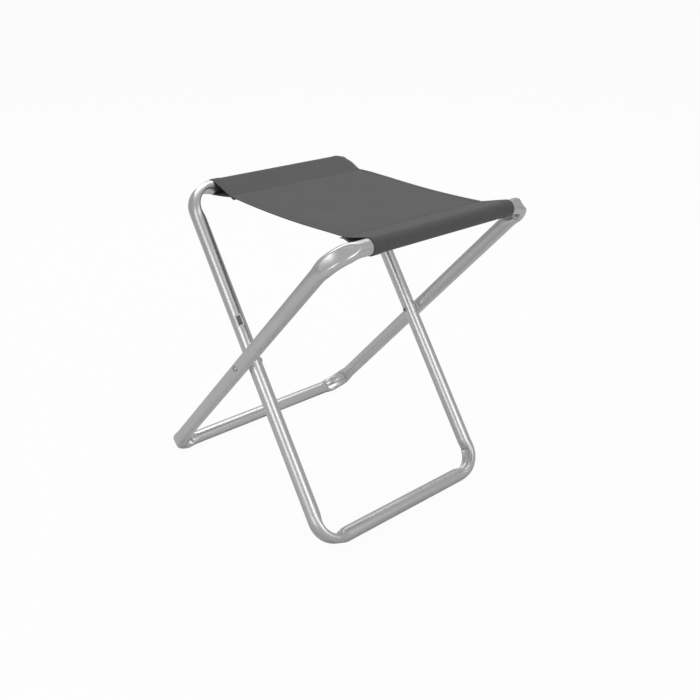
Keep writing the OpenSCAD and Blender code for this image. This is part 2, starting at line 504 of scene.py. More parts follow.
def sleeve_stations(which, seat):
    """The cloth's path from its tab, round one rail and back to the seam, seen along X."""
    rail = RAILS[which]
    inboard = -math.copysign(1, rail.y - PIVOT.y)
    wrap = TUBE_R + 0.1 * MM + seat.cloth / 2
    seam_in = getattr(seat, f"{which}_seam")
    upper = np.array([seam_in, -3.0 * MM])
    lower = upper - (0, seat.cloth + 0.1 * MM)
    path = []
    for t in np.linspace(1, 0, 7)[:-1]:
        path.append((seam_in + t * seat.tab, lower[1] - 1.6 * MM * t**2, 1 - t))

    def tangent(point, side):
        leaving = math.atan2(point[1], point[0])
        return leaving + side * math.acos(wrap / math.hypot(*point))

    under = tangent(lower, -1)
    over = tangent(upper, 1) - 2 * math.pi
    foot = np.array([math.cos(under), math.sin(under)]) * wrap
    for t in np.linspace(0, 1, 22)[:-1]:
        slack = -0.3 * MM * math.sin(math.pi * t) ** 2
        point = lower + (foot - lower) * t
        path.append((point[0], point[1] + slack, 1 + t))
    for t in np.linspace(0, 1, 35)[:-1]:
        turn = under + (over - under) * t
        path.append((wrap * math.cos(turn), wrap * math.sin(turn), 2 + 2 * t))
    crown = np.array([math.cos(over), math.sin(over)]) * wrap
    for t in np.linspace(0, 1, 30):
        point = crown + (upper - crown) * (1 - (1 - t) ** 1.25)
        path.append((point[0], point[1], 4 + t))
    stations = []
    for a, h, step in path:
        left = np.interp(step, SLEEVE_STEPS, SLEEVE_EDGES[which]["left"]) * MM
        right = np.interp(step, SLEEVE_STEPS, SLEEVE_EDGES[which]["right"]) * MM
        bulk = np.interp(step, [0, 1, 2, 4, 5], [2.2, 2.2, 1, 1, 0])
        stations.append((rail.y + inboard * a, rail.z + h, left, right, bulk, 0.0))
    return stations


def stitch_line(which, seat):
    """Where a seam's row of stitches lies, just inside the seam."""
    rail = RAILS[which]
    inboard = -math.copysign(1, rail.y - PIVOT.y)
    return rail.y + inboard * (getattr(seat, f"{which}_seam") + 2 * MM)


def panel_stations(seat, first_y, last_y, z):
    """The stations of the panel between the two seams, close together beside them."""
    length = first_y - last_y
    near = np.arange(1, 13) * 1.1 * MM
    middle_part = np.linspace(near[-1], length - near[-1], 72)[1:-1]
    stations = []
    for d in np.concatenate([near, middle_part, length - near[::-1]]):
        y = first_y - d
        t = d / length
        sag = seat.sag * 4 * t * (1 - t)
        left = np.interp(-y / MM, [-p for p in PANEL_EDGE_PLACES], PANEL_EDGES["left"]) * MM
        right = np.interp(-y / MM, [-p for p in PANEL_EDGE_PLACES], PANEL_EDGES["right"]) * MM
        stations.append((y, z - sag, left, right, 0.0, 1.0))
    return stations


def column_places(width, hem):
    """Places across the cloth from one hem's inner edge, round its fold, over the seat and
    under the other hem: the distance from the left edge, the depth below the top layer and
    the distance along the cloth."""
    r = HEM_GAP / 2
    fold = [(r * (1 - math.sin(turn)), 0.5 + 0.5 * math.cos(turn)) for turn in np.linspace(0, math.pi, 7)]
    strip = [(d, 1.0) for d in np.linspace(hem, r, 6)[:-1]]
    side = strip + fold
    count = 108
    across = [(d, 0.0) for d in np.linspace(r, width - r, count)[1:-1]]
    columns = side + across + [(width - d, depth) for d, depth in reversed(side)]
    along = []
    for i, (d, depth) in enumerate(columns):
        if i < len(strip):
            along.append(-d)
        elif i >= len(columns) - len(strip):
            along.append(2 * width - d)
        else:
            along.append(d)
    return np.array([c[0] for c in columns]), np.array([c[1] for c in columns]), np.array(along)


def seat_surface(seat):
    """The place of every vertex of the seat cloth, in rows of stations by columns, and its
    place on the flat cloth."""
    inner = sleeve_stations("inner", seat)
    outer = sleeve_stations("outer", seat)
    seam_z = inner[-1][1]
    stations = inner + panel_stations(seat, inner[-1][0], outer[-1][0], seam_z) + outer[::-1]
    y, z, left, right, bulk, panel = np.array(stations).T
    ty, tz = np.gradient(y), np.gradient(z)
    size = np.hypot(ty, tz)
    normal_y, normal_z = tz / size, -ty / size
    length = np.concatenate([[0], np.cumsum(np.hypot(np.diff(y), np.diff(z)))])
    nominal = 0.244
    u, depth, along = column_places(nominal, seat.hem)

    stretch = (right - left)[:, None]
    from_left = np.minimum(u, nominal / 2)[None, :]
    from_right = np.minimum(nominal - u, nominal / 2)[None, :]
    share = np.clip((u[None, :] - nominal / 2) / (nominal / 2 - 16 * MM), -1, 1)
    centre = (left + right)[:, None] / 2
    x = np.where(
        np.abs(share) < 1,
        centre + share * (stretch / 2 - 16 * MM),
        np.where(share < 0, left[:, None] + from_left, right[:, None] - from_right),
    )
    edge_distance = np.minimum(from_left, from_right)
    band = 1 - ease(12.5 * MM, 16 * MM, edge_distance)
    off_tube = ease(118 * MM, 126 * MM, x) * (y > 0)[:, None]
    lift = bulk[:, None] * band * (1 - off_tube) * HEM_GAP - depth[None, :] * HEM_GAP

    seam_inner, seam_outer = stitch_line("inner", seat), stitch_line("outer", seat)
    top_side = normal_z > 0.3
    for row in range(len(y)):
        if not top_side[row]:
            continue
        from_seam = min(abs(y[row] - seam_inner), abs(y[row] - seam_outer)) / MM
        held = ease(0, 1, (abs(RAILS["inner"].y - y[row]) - 12 * MM) / (30 * MM))
        held *= ease(0, 1, (abs(RAILS["outer"].y - y[row]) - 12 * MM) / (30 * MM))
        for column in range(len(u)):
            px, py = x[row, column] / MM, y[row] / MM
            waves = noise.noise(Vector((px / 26, py / 150, 3.7)))
            ripple = noise.noise(Vector((px / 5.5, py / 14, 9.1)))
            dent = -0.30 * math.exp(-((from_seam / 1.3) ** 2))
            pucker = 0.30 * ripple * math.exp(-((from_seam / 7) ** 2))
            row_line = abs(edge_distance[0, column] / MM - 9)
            hem_dent = -0.22 * math.exp(-((row_line / 1.2) ** 2)) * panel[row]
            lift[row, column] += (0.55 * waves * held + dent + pucker + hem_dent) * MM

    past = ease(121 * MM, 139 * MM, x)
    inner_rail = RAILS["inner"]
    over_bend = ease(26 * MM, 4 * MM, np.abs(y - inner_rail.y)) * ease(-2 * MM, 8 * MM, z - inner_rail.z)
    droop = 3.2 * MM * past * over_bend[:, None]
    place_y = y[:, None] + normal_y[:, None] * lift
    place_z = z[:, None] + normal_z[:, None] * lift - droop
    places = np.stack([x, place_y, place_z], axis=-1)
    cloth = np.stack([np.broadcast_to(along, x.shape), np.broadcast_to(length[:, None], x.shape)], axis=-1)
    return places, cloth, length[-1], along[-1] - along[0]


def make_seat(seat, material):
    """Makes the seat cloth in one piece: panel, sleeves, tabs and folded side hems."""
    places, cloth, length, width = seat_surface(seat)
    rows, columns = places.shape[:2]
    start_fresh()
    bpy.ops.mesh.primitive_grid_add(x_subdivisions=columns - 1, y_subdivisions=rows - 1, size=1)
    obj = bpy.context.object
    obj.name = "seat_cloth"
    settle(obj)
    grid = vertex_places(obj.data)
    column = np.rint((grid[:, 0] + 0.5) * (columns - 1)).astype(int)
    row = np.rint((grid[:, 1] + 0.5) * (rows - 1)).astype(int)
    put_vertices(obj.data, places[row, column])
    flat = cloth[row, column]
    layer = obj.data.uv_layers.active or obj.data.uv_layers.new(name="UVMap")
    corner = np.empty(len(obj.data.loops), int)
    obj.data.loops.foreach_get("vertex_index", corner)
    layer.data.foreach_set("uv", flat[corner].astype(np.float32).ravel())
    keep_attribute(obj.data, "cloth_place", "FLOAT_VECTOR", np.column_stack([flat, flat[:, 0] * 0]))
    modify(obj, "SOLIDIFY", thickness=seat.cloth, offset=0, use_rim=True)
    face_out(obj)
    bpy.ops.object.shade_smooth_by_angle(angle=math.radians(60))
    dress(obj, material)
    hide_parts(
        "seat_panel", "outer_rail_sleeve", "inner_rail_sleeve", "left_side_hem", "right_side_hem"
    )
    blend_over_fold(obj)
    return obj, (width, length)


def blend_over_fold(piece):
    """Moves a piece of the seat's place and turn into its mesh."""
    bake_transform(piece)


# The stitching


def model_stitch():
    """One stitch along X, a short pad of thread that sinks into the cloth at both ends."""
    start_fresh()
    bpy.ops.mesh.primitive_uv_sphere_add(segments=8, ring_count=6, radius=1, rotation=(0, math.pi / 2, 0))
    stitch = bpy.context.object
    settle(stitch)
    places = vertex_places(stitch.data)
    rounder = np.sign(places[:, 0]) * np.abs(places[:, 0]) ** 0.8
    places = np.column_stack([rounder * 1.55, places[:, 1] * 0.42, places[:, 2] * 0.36]) * MM
    places[:, 2] -= 0.18 * MM * (places[:, 0] / (1.55 * MM)) ** 2
    put_vertices(stitch.data, places)
    return stitch


def sew_row(name, node, seat_obj, line, stitch, pitch, material):
    """Copies the stitch along a row on both faces of the cloth. "line" gives the row's
    points from its start to its end, seen from above."""
    line = np.array(line)
    reach = np.concatenate([[0], np.cumsum(np.hypot(*np.diff(line, axis=0).T))])
    count = int(reach[-1] // pitch)
    rim = bmesh.new()
    for i in range(count):
        at = reach[-1] * (i + 0.5) / count
        x, y = (np.interp(at, reach, line[:, k]) for k in (0, 1))
        ahead = [np.interp(at + 0.5 * MM, reach, line[:, k]) for k in (0, 1)]
        heading = Vector((ahead[0] - x, ahead[1] - y, 0))
        if heading.length < 1e-7:
            continue
        for below in (False, True):
            origin = Vector((x, y, 0.38 if below else 0.47))
            ray = Vector((0, 0, 1 if below else -1))
            hit, place, normal, _ = seat_obj.ray_cast(origin, ray)
            if not hit:
                continue
            if normal.dot(ray) > 0:
                normal = -normal
            forward = (heading - normal * heading.dot(normal)).normalized()
            side = normal.cross(forward)
            turn = Matrix((forward, side, normal)).transposed().to_4x4()
            copy = stitch.data.copy()
            copy.transform(Matrix.Translation(place + normal * 0.08 * MM) @ turn)
            rim.from_mesh(copy)
            bpy.data.meshes.remove(copy)
    mesh = bpy.data.meshes.new(name)
    rim.to_mesh(mesh)
    rim.free()
    obj = bpy.data.objects.new(name, mesh)
    bpy.context.scene.collection.objects.link(obj)
    face_out(obj)
    dress(obj, material)
    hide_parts(node)
    blend_over_fold(obj)
    return obj


def panel_edge(side, y):
    """Where the panel's left or right edge lies at y."""
    return np.interp(-y / MM, [-p for p in PANEL_EDGE_PLACES], PANEL_EDGES[side]) * MM


# How far a seam's row stops short of the cloth's edge, how far a hem's row lies inside it,
# and how far a hem's row runs past the CAD strip at both ends
SEAM_END_GAP = 1.2 * MM
HEM_ROW_INSET = 9 * MM
HEM_ROW_PAST = 8 * MM


def make_stitching(seat, seat_obj, material):
    """Sews the two seams and the two side hems."""
    stitch = model_stitch()
    pitch = seat.stitch_pitch
    rows = []
    for which in ("inner", "outer"):
        node = f"{which}_seam_stitching"
        y = stitch_line(which, seat)
        left = panel_edge("left", y) + SEAM_END_GAP
        right = panel_edge("right", y) - SEAM_END_GAP
        line = [(left, y), (right, y)]
        rows.append(sew_row(f"{which}_seam_stitches", node, seat_obj, line, stitch, pitch, material))
    low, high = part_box("left_hem_stitching")
    hem_ys = np.linspace(low.y - HEM_ROW_PAST, high.y + HEM_ROW_PAST, 24)
    for side, sign in (("left", 1), ("right", -1)):
        node = f"{side}_hem_stitching"
        line = [(panel_edge(side, y) + sign * HEM_ROW_INSET, y) for y in hem_ys]
        rows.append(sew_row(f"{side}_hem_stitches", node, seat_obj, line, stitch, pitch, material))
    bpy.data.objects.remove(stitch)
    return rows


# The sticker

LABEL_LENGTH = 17.5 * MM
LABEL_WIDTH = 9.5 * MM
LABEL_UP = 59 * MM
LABEL_TURN = math.radians(69)
LABEL_CORNER = 1.0 * MM
LABEL_THICKNESS = 0.13 * MM
LABEL_CLEARANCE = 0.02 * MM


def make_label(material):
    """Makes the blank sticker bent round the inner frame's left leg."""
    loop = loop_measures("inner")
    start_fresh()
    bpy.ops.mesh.primitive_grid_add(x_subdivisions=14, y_subdivisions=24, size=1)
    label = bpy.context.object
    label.name = "frame_sticker"
    settle(label)
    flat = vertex_places(label.data)
    corner = LABEL_CORNER
    across, along = flat[:, 0] * LABEL_WIDTH, flat[:, 1] * LABEL_LENGTH
    past = np.maximum(np.abs(along) - (LABEL_LENGTH / 2 - corner), 0)
    narrow = LABEL_WIDTH / 2 - corner + np.sqrt(np.maximum(corner**2 - past**2, 0))
    across = across / (LABEL_WIDTH / 2) * narrow
    turn = math.pi + LABEL_TURN + across / TUBE_R
    radius = TUBE_R + LABEL_CLEARANCE
    x = radius * np.cos(turn) - loop["half"]
    places = np.column_stack([x, radius * np.sin(turn), along + LABEL_UP])
    put_vertices(label.data, places)
    modify(label, "SOLIDIFY", thickness=LABEL_THICKNESS, offset=1, use_rim=True)
    label.rotation_euler = (loop["lean"], 0, 0)
    label.location = PIVOT
    settle(label)
    face_out(label)
    bpy.ops.object.shade_smooth_by_angle(angle=math.radians(40))
    dress(label, material)
    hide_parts("frame_label")
    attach(label, "inner_frame")


# Shader tools


def add_node(tree, kind, inputs=None, **settings):
    """Adds a shader node with its settings and its input values or links."""
    node = tree.nodes.new(kind)
    for key, value in settings.items():
        setattr(node, key, value)
    for key, value in (inputs or {}).items():
        socket = node.inputs[key]
        if isinstance(value, bpy.types.NodeSocket):
            tree.links.new(value, socket)
        else:
            socket.default_value = value
    return node


def calculate(tree, operation, *values):
    """A Math node's result."""
    node = add_node(tree, "ShaderNodeMath", dict(enumerate(values)), operation=operation)
    return node.outputs[0]


def spread(tree, value, low, high, to_low, to_high):
    """Maps a value from one range to another and clamps it."""
    node = add_node(
        tree,
        "ShaderNodeMapRange",
        {"Value": value, "From Min": low, "From Max": high, "To Min": to_low, "To Max": to_high},
    )
    return node.outputs["Result"]


def noise_mask(tree, vector, scale, detail=3.0, roughness=0.5):
    """A noise texture's value."""
    node = add_node(
        tree,
        "ShaderNodeTexNoise",
        {"Vector": vector, "Scale": scale, "Detail": detail, "Roughness": roughness},
    )
    return node.outputs["Fac"]


def shade_colour(tree, colour, factor):
    """A colour times a factor near one."""
    node = add_node(
        tree, "ShaderNodeMix", data_type="RGBA", blend_type="MULTIPLY", clamp_result=False
    )
    node.inputs["Factor"].default_value = 1.0
    node.inputs["A"].default_value = (*colour, 1)
    grey = add_node(tree, "ShaderNodeCombineColor", {"Red": factor, "Green": factor, "Blue": factor})
    tree.links.new(node.inputs["B"], grey.outputs["Color"])
    return node.outputs["Result"]


def mix_colour(tree, mask, first, second):
    """One colour where the mask is 0 and another where it is 1."""
    node = add_node(tree, "ShaderNodeMix", data_type="RGBA")
    for key, value in (("Factor", mask), ("A", first), ("B", second)):
        socket = [s for s in node.inputs if s.name == key and s.enabled][0]
        if isinstance(value, bpy.types.NodeSocket):
            tree.links.new(value, socket)
        else:
            socket.default_value = value if key == "Factor" else (*value, 1)
    return node.outputs["Result"] if node.outputs["Result"].enabled else node.outputs[2]


def bump(tree, height, distance, strength=1.0, normal=None):
    """A Bump node's normal."""
    inputs = {"Height": height, "Distance": distance, "Strength": strength}
    if normal is not None:
        inputs["Normal"] = normal
    return add_node(tree, "ShaderNodeBump", inputs).outputs["Normal"]


def new_group(name, inputs, outputs):
    """An empty shader group with its sockets, and its input and output nodes."""
    tree = bpy.data.node_groups.new(name, "ShaderNodeTree")
    for socket, kind, default in inputs:
        item = tree.interface.new_socket(name=socket, in_out="INPUT", socket_type=kind)
        if default is not None:
            item.default_value = default
    for socket, kind in outputs:
        tree.interface.new_socket(name=socket, in_out="OUTPUT", socket_type=kind)
    return tree, tree.nodes.new("NodeGroupInput"), tree.nodes.new("NodeGroupOutput")


def use_group(tree, group, inputs):
    """Places a shader group in a material."""
    node = tree.nodes.new("ShaderNodeGroup")
    node.node_tree = group
    for key, value in inputs.items():
        if isinstance(value, bpy.types.NodeSocket):
            tree.links.new(value, node.inputs[key])
        else:
            node.inputs[key].default_value = value
    return node


def new_material(name, **constants):
    """A material, its tree and its Principled shader with constant values set on it."""
    material = bpy.data.materials.new(name)
    material.use_nodes = True
    shader = material.node_tree.nodes["Principled BSDF"]
    for key, value in constants.items():
        shader.inputs[key.replace("_", " ")].default_value = value
    return material, material.node_tree, shader


def stretched(tree, vector, scale):
    """A vector scaled apart along its axes."""
    return add_node(tree, "ShaderNodeMapping", {"Vector": vector, "Scale": scale}).outputs["Vector"]


# Effects that several materials share


def drawn_grain_group():
    """Fine streaks along a drawn tube, its third axis, with faint long bands."""
    tree, given, result = new_group(
        "drawn_grain",
        [("Vector", "NodeSocketVector", None), ("Fineness", "NodeSocketFloat", 1.0)],
        [("Streaks", "NodeSocketFloat"), ("Bands", "NodeSocketFloat")],
    )
    fine = stretched(tree, given.outputs["Vector"], (1.0, 1.0, 0.012))
    scale = calculate(tree, "MULTIPLY", given.outputs["Fineness"], 2600.0)
    streaks = noise_mask(tree, fine, scale, 4.0, 0.65)
    wide = stretched(tree, given.outputs["Vector"], (1.0, 1.0, 0.05))
    bands = noise_mask(tree, wide, 260.0, 2.0, 0.5)
    tree.links.new(streaks, result.inputs["Streaks"])
    tree.links.new(bands, result.inputs["Bands"])
    return tree


def scuffs_group():
    """Cloudy handling marks and a few thin scratches."""
    tree, given, result = new_group(
        "scuffs",
        [("Vector", "NodeSocketVector", None), ("Scale", "NodeSocketFloat", 60.0)],
        [("Clouds", "NodeSocketFloat"), ("Scratches", "NodeSocketFloat")],
    )
    clouds = noise_mask(tree, given.outputs["Vector"], given.outputs["Scale"], 2.5, 0.5)
    turned = add_node(
        tree,
        "ShaderNodeMapping",
        {"Vector": given.outputs["Vector"], "Rotation": (0.5, 0.9, 0.3), "Scale": (1.0, 0.06, 1.0)},
    ).outputs["Vector"]
    scale = calculate(tree, "MULTIPLY", given.outputs["Scale"], 9.0)
    lines = noise_mask(tree, turned, scale, 1.0, 0.5)
    tree.links.new(spread(tree, clouds, 0.35, 0.7, 0.0, 1.0), result.inputs["Clouds"])
    tree.links.new(spread(tree, lines, 0.68, 0.74, 0.0, 1.0), result.inputs["Scratches"])
    return tree


def plain_weave_group():
    """A plain weave over two directions in metres: the height of its yarns and their shade, which is the
    yarns' own tone mixed with painted shade that darkens them where they dip.
    """
    tree, given, result = new_group(
        "plain_weave",
        [("Vector", "NodeSocketVector", None), ("Pitch", "NodeSocketFloat", 0.0005)],
        [("Height", "NodeSocketFloat"), ("Shade", "NodeSocketFloat")],
    )
    parts = add_node(tree, "ShaderNodeSeparateXYZ", {"Vector": given.outputs["Vector"]})
    u = calculate(tree, "DIVIDE", parts.outputs["X"], given.outputs["Pitch"])
    v = calculate(tree, "DIVIDE", parts.outputs["Y"], given.outputs["Pitch"])
    cells = calculate(tree, "ADD", calculate(tree, "FLOOR", u), calculate(tree, "FLOOR", v))
    over = calculate(tree, "PINGPONG", cells, 1.0)

    def rise(value):
        within = calculate(tree, "FRACT", value)
        return calculate(tree, "SINE", calculate(tree, "MULTIPLY", within, math.pi))

    rise_u, rise_v = rise(u), rise(v)
    warp = calculate(tree, "MULTIPLY", rise_u, calculate(tree, "MULTIPLY_ADD", rise_v, 0.55, 0.45))
    weft = calculate(tree, "MULTIPLY", rise_v, calculate(tree, "MULTIPLY_ADD", rise_u, 0.55, 0.45))
    height = add_node(tree, "ShaderNodeMix", {"Factor": over, "A": warp, "B": weft}).outputs["Result"]
    warp_place = stretched(tree, given.outputs["Vector"], (1900.0, 30.0, 1.0))
    weft_place = stretched(tree, given.outputs["Vector"], (30.0, 1900.0, 1.0))
    along_warp = noise_mask(tree, warp_place, 1.0, 1.0)
    along_weft = noise_mask(tree, weft_place, 1.0, 1.0)
    yarns = {"Factor": over, "A": along_warp, "B": along_weft}
    yarn = add_node(tree, "ShaderNodeMix", yarns).outputs["Result"]
    # The shade is the yarns' own tone from the noise plus painted shade from the height: darker where a
    # yarn dips under its neighbour.
    shade = calculate(tree, "MULTIPLY_ADD", height, 0.35, calculate(tree, "MULTIPLY", yarn, 0.65))
    tree.links.new(height, result.inputs["Height"])
    tree.links.new(shade, result.inputs["Shade"])
    return tree


def shared_group(name, build):
    """The shared effect of that name, built once."""
    return bpy.data.node_groups.get(name) or build()


# Materials


def drawn_aluminium(name, colour, place, roughness):
    """Bare drawn aluminium with fine streaks along the tube and press marks at the bends."""
    material, tree, shader = new_material(name, Metallic=1.0, Specular_IOR_Level=0.5)
    object_place = add_node(tree, "ShaderNodeTexCoord").outputs["Object"]
    if place:
        vector = add_node(tree, "ShaderNodeAttribute", attribute_name=place).outputs["Vector"]
        mark = add_node(tree, "ShaderNodeAttribute", attribute_name="press_mark").outputs["Fac"]
    else:
        vector = add_node(
            tree, "ShaderNodeMapping", {"Vector": object_place, "Rotation": (0, math.pi / 2, 0)}
        ).outputs["Vector"]
        mark = None
    grain_group = shared_group("drawn_grain", drawn_grain_group)
    grain = use_group(tree, grain_group, {"Vector": vector, "Fineness": 1.0})
    marks = use_group(tree, shared_group("scuffs", scuffs_group), {"Vector": object_place, "Scale": 55.0})
    streaks = spread(tree, grain.outputs["Streaks"], 0.3, 0.7, -1.0, 1.0)
    bands = spread(tree, grain.outputs["Bands"], 0.3, 0.7, -1.0, 1.0)
    factor = calculate(tree, "MULTIPLY_ADD", streaks, 0.02, 1.0)
    factor = calculate(tree, "MULTIPLY_ADD", bands, 0.025, factor)
    factor = calculate(tree, "MULTIPLY_ADD", marks.outputs["Clouds"], -0.03, factor)
    rough = calculate(tree, "MULTIPLY_ADD", streaks, 0.012, roughness)
    rough = calculate(tree, "MULTIPLY_ADD", marks.outputs["Clouds"], 0.02, rough)
    rough = calculate(tree, "MULTIPLY_ADD", marks.outputs["Scratches"], 0.04, rough)
    height = calculate(tree, "MULTIPLY_ADD", marks.outputs["Scratches"], -0.6, streaks)
    if mark is not None:
        worn = calculate(tree, "MULTIPLY", mark, marks.outputs["Clouds"])
        factor = calculate(tree, "MULTIPLY_ADD", worn, 0.10, factor)
        rough = calculate(tree, "MULTIPLY_ADD", mark, -0.05, rough)
    tree.links.new(shade_colour(tree, colour, factor), shader.inputs["Base Color"])
    tree.links.new(rough, shader.inputs["Roughness"])
    tree.links.new(bump(tree, height, 0.0004 * MM), shader.inputs["Normal"])
    return material


def coated_cloth(seat):
    """Grey polyester in a plain weave with a matt coating."""
    material, tree, shader = new_material(
        "seat_cloth", Sheen_Weight=0.12, Sheen_Roughness=0.5, Specular_IOR_Level=0.3
    )
    place = add_node(tree, "ShaderNodeAttribute", attribute_name="cloth_place").outputs["Vector"]
    object_place = add_node(tree, "ShaderNodeTexCoord").outputs["Object"]
    weave = use_group(
        tree, shared_group("plain_weave", plain_weave_group), {"Vector": place, "Pitch": 0.55 * MM}
    )
    marks = use_group(tree, shared_group("scuffs", scuffs_group), {"Vector": object_place, "Scale": 22.0})
    # The weave's shade darkens the cloth's colour where its yarns dip (painted shade) and varies it with
    # the yarns' own tone.
    factor = spread(tree, weave.outputs["Shade"], 0.15, 0.75, 0.80, 1.18)
    factor = calculate(tree, "MULTIPLY_ADD", marks.outputs["Clouds"], 0.05, factor)
    rough = spread(tree, weave.outputs["Height"], 0.0, 1.0, 0.86, 0.70)
    tree.links.new(shade_colour(tree, seat.colour, factor), shader.inputs["Base Color"])
    tree.links.new(rough, shader.inputs["Roughness"])
    tree.links.new(bump(tree, weave.outputs["Height"], 0.09 * MM, 0.8), shader.inputs["Normal"])
    return material


def sewing_thread(seat):
    """Twisted bonded thread, a little darker and glossier than the cloth."""
    material, tree, shader = new_material("seat_thread", Specular_IOR_Level=0.5, Sheen_Weight=0.2)
    place = add_node(tree, "ShaderNodeTexCoord").outputs["Object"]
    twist = add_node(
        tree,
        "ShaderNodeTexWave",
        {"Vector": place, "Scale": 900.0, "Distortion": 0.6, "Detail": 1.0},
        wave_type="BANDS",
        bands_direction="DIAGONAL",
    ).outputs["Fac"]
    fibres = noise_mask(tree, place, 2600.0, 2.0)
    # The twist's bands darken the colour in the grooves between the plies, which is painted shade; the
    # fibre noise is the thread's own tone.
    factor = calculate(tree, "MULTIPLY_ADD", twist, 0.3, calculate(tree, "MULTIPLY_ADD", fibres, 0.3, 0.7))
    tree.links.new(shade_colour(tree, seat.thread_colour, factor), shader.inputs["Base Color"])
    tree.links.new(spread(tree, fibres, 0.3, 0.7, 0.5, 0.68), shader.inputs["Roughness"])
    tree.links.new(bump(tree, twist, 0.05 * MM), shader.inputs["Normal"])
    return material


def zinc_steel():
    """Zinc plated steel with a faint crystal cloud and small dings."""
    material, tree, shader = new_material("rivet_steel", Metallic=1.0)
    place = add_node(tree, "ShaderNodeTexCoord").outputs["Object"]
    marks = use_group(tree, shared_group("scuffs", scuffs_group), {"Vector": place, "Scale": 420.0})
    crystals = add_node(
        tree, "ShaderNodeTexVoronoi", {"Vector": place, "Scale": 900.0}
    ).outputs["Distance"]
    factor = calculate(tree, "MULTIPLY_ADD", marks.outputs["Clouds"], -0.18, 1.05)
    rough = calculate(tree, "MULTIPLY_ADD", marks.outputs["Clouds"], 0.14, 0.24)
    tree.links.new(shade_colour(tree, (0.55, 0.555, 0.56), factor), shader.inputs["Base Color"])
    tree.links.new(rough, shader.inputs["Roughness"])
    height = calculate(tree, "MULTIPLY_ADD", marks.outputs["Scratches"], -1.0, crystals)
    tree.links.new(bump(tree, height, 0.02 * MM), shader.inputs["Normal"])
    return material


def natural_nylon():
    """Milky moulded nylon with a faint mottle."""
    material, tree, shader = new_material("spacer_plastic", Specular_IOR_Level=0.5)
    place = add_node(tree, "ShaderNodeTexCoord").outputs["Object"]
    marks = use_group(tree, shared_group("scuffs", scuffs_group), {"Vector": place, "Scale": 300.0})
    factor = calculate(tree, "MULTIPLY_ADD", marks.outputs["Clouds"], -0.10, 1.0)
    rough = calculate(tree, "MULTIPLY_ADD", marks.outputs["Clouds"], 0.15, 0.38)
    tree.links.new(shade_colour(tree, (0.72, 0.73, 0.72), factor), shader.inputs["Base Color"])
    tree.links.new(rough, shader.inputs["Roughness"])
    tree.links.new(bump(tree, marks.outputs["Clouds"], 0.03 * MM), shader.inputs["Normal"])
    return material


def printed_film():
    """A blank grey field in a white border, printed on film."""
    material, tree, shader = new_material("label_paper", Specular_IOR_Level=0.5)
    uv = add_node(tree, "ShaderNodeUVMap", uv_map="UVMap").outputs["UV"]
    parts = add_node(tree, "ShaderNodeSeparateXYZ", {"Vector": uv})

    def inside(value, margin):
        distance = calculate(tree, "ABSOLUTE", calculate(tree, "SUBTRACT", value, 0.5))
        return calculate(tree, "LESS_THAN", distance, 0.5 - margin)

    field = calculate(tree, "MULTIPLY", inside(parts.outputs["X"], 0.20), inside(parts.outputs["Y"], 0.12))
    place = add_node(tree, "ShaderNodeTexCoord").outputs["Object"]
    grain = noise_mask(tree, place, 1500.0, 2.0)
    speck = spread(tree, grain, 0.3, 0.7, 0.88, 1.08)
    grey = shade_colour(tree, (0.17, 0.17, 0.175), speck)
    colour = mix_colour(tree, field, (0.82, 0.82, 0.82), grey)
    tree.links.new(colour, shader.inputs["Base Color"])
    tree.links.new(spread(tree, grain, 0.3, 0.7, 0.30, 0.42), shader.inputs["Roughness"])
    tree.links.new(bump(tree, grain, 0.01 * MM), shader.inputs["Normal"])
    return material


# The stage


def make_floor(size):
    """A plain pale floor that reaches past the top of the picture."""
    start_fresh()
    bpy.ops.mesh.primitive_plane_add(size=size, location=(0, 0, -0.3 * MM))
    floor = bpy.context.object
    floor.name = "floor"
    material, tree, shader = new_material("floor_paint", Roughness=0.9, Specular_IOR_Level=0.1)
    shader.inputs["Base Color"].default_value = (0.66, 0.66, 0.66, 1)
    white = add_node(tree, "ShaderNodeEmission", {"Color": (1, 1, 1, 1), "Strength": 1.02})
    seen = add_node(tree, "ShaderNodeLightPath").outputs["Is Camera Ray"]
    amount = calculate(tree, "MULTIPLY", seen, 0.93)
    mixed = add_node(tree, "ShaderNodeMixShader", {0: amount, 1: shader.outputs[0], 2: white.outputs[0]})
    output = [n for n in tree.nodes if n.type == "OUTPUT_MATERIAL"][0]
    tree.links.new(mixed.outputs[0], output.inputs["Surface"])
    floor.data.materials.append(material)


def softbox(name, place, aim, size, power):
    """A large soft light that points at a place."""
    start_fresh()
    bpy.ops.object.light_add(type="AREA", location=place)
    light = bpy.context.object
    light.name = name
    light.data.shape = "RECTANGLE"
    light.data.size, light.data.size_y = size
    light.data.energy = power
    light.rotation_euler = (Vector(aim) - Vector(place)).to_track_quat("-Z", "Y").to_euler()


def make_lights(stage):
    """A grey surround, a high key light, a front light and a left light."""
    world = bpy.data.worlds.new("studio")
    world.use_nodes = True
    bpy.context.scene.world = world
    background = world.node_tree.nodes["Background"]
    background.inputs["Color"].default_value = (1, 1, 1, 1)
    background.inputs["Strength"].default_value = stage.sky
    softbox("overhead_light", (0.3, 1.1, 2.4), (0, 0, 0.3), (2.6, 2.2), 26)
    softbox("front_light", (0.15, -2.4, 1.35), (0, 0, 0.25), (1.2, 1.7), 11)
    softbox("left_light", (-2.1, -0.9, 1.05), (0, 0, 0.25), (0.9, 1.2), 6)


CAMERA_TURN = math.radians(-40.01)
CAMERA_HEIGHT = math.radians(20.85)
CAMERA_ROLL = math.radians(0.13)
CAMERA_DISTANCE = 1.28746
CAMERA_OFFSET = (-0.02386, 0.07865)
CAMERA_SHIFT = (0.0416, -0.1019)


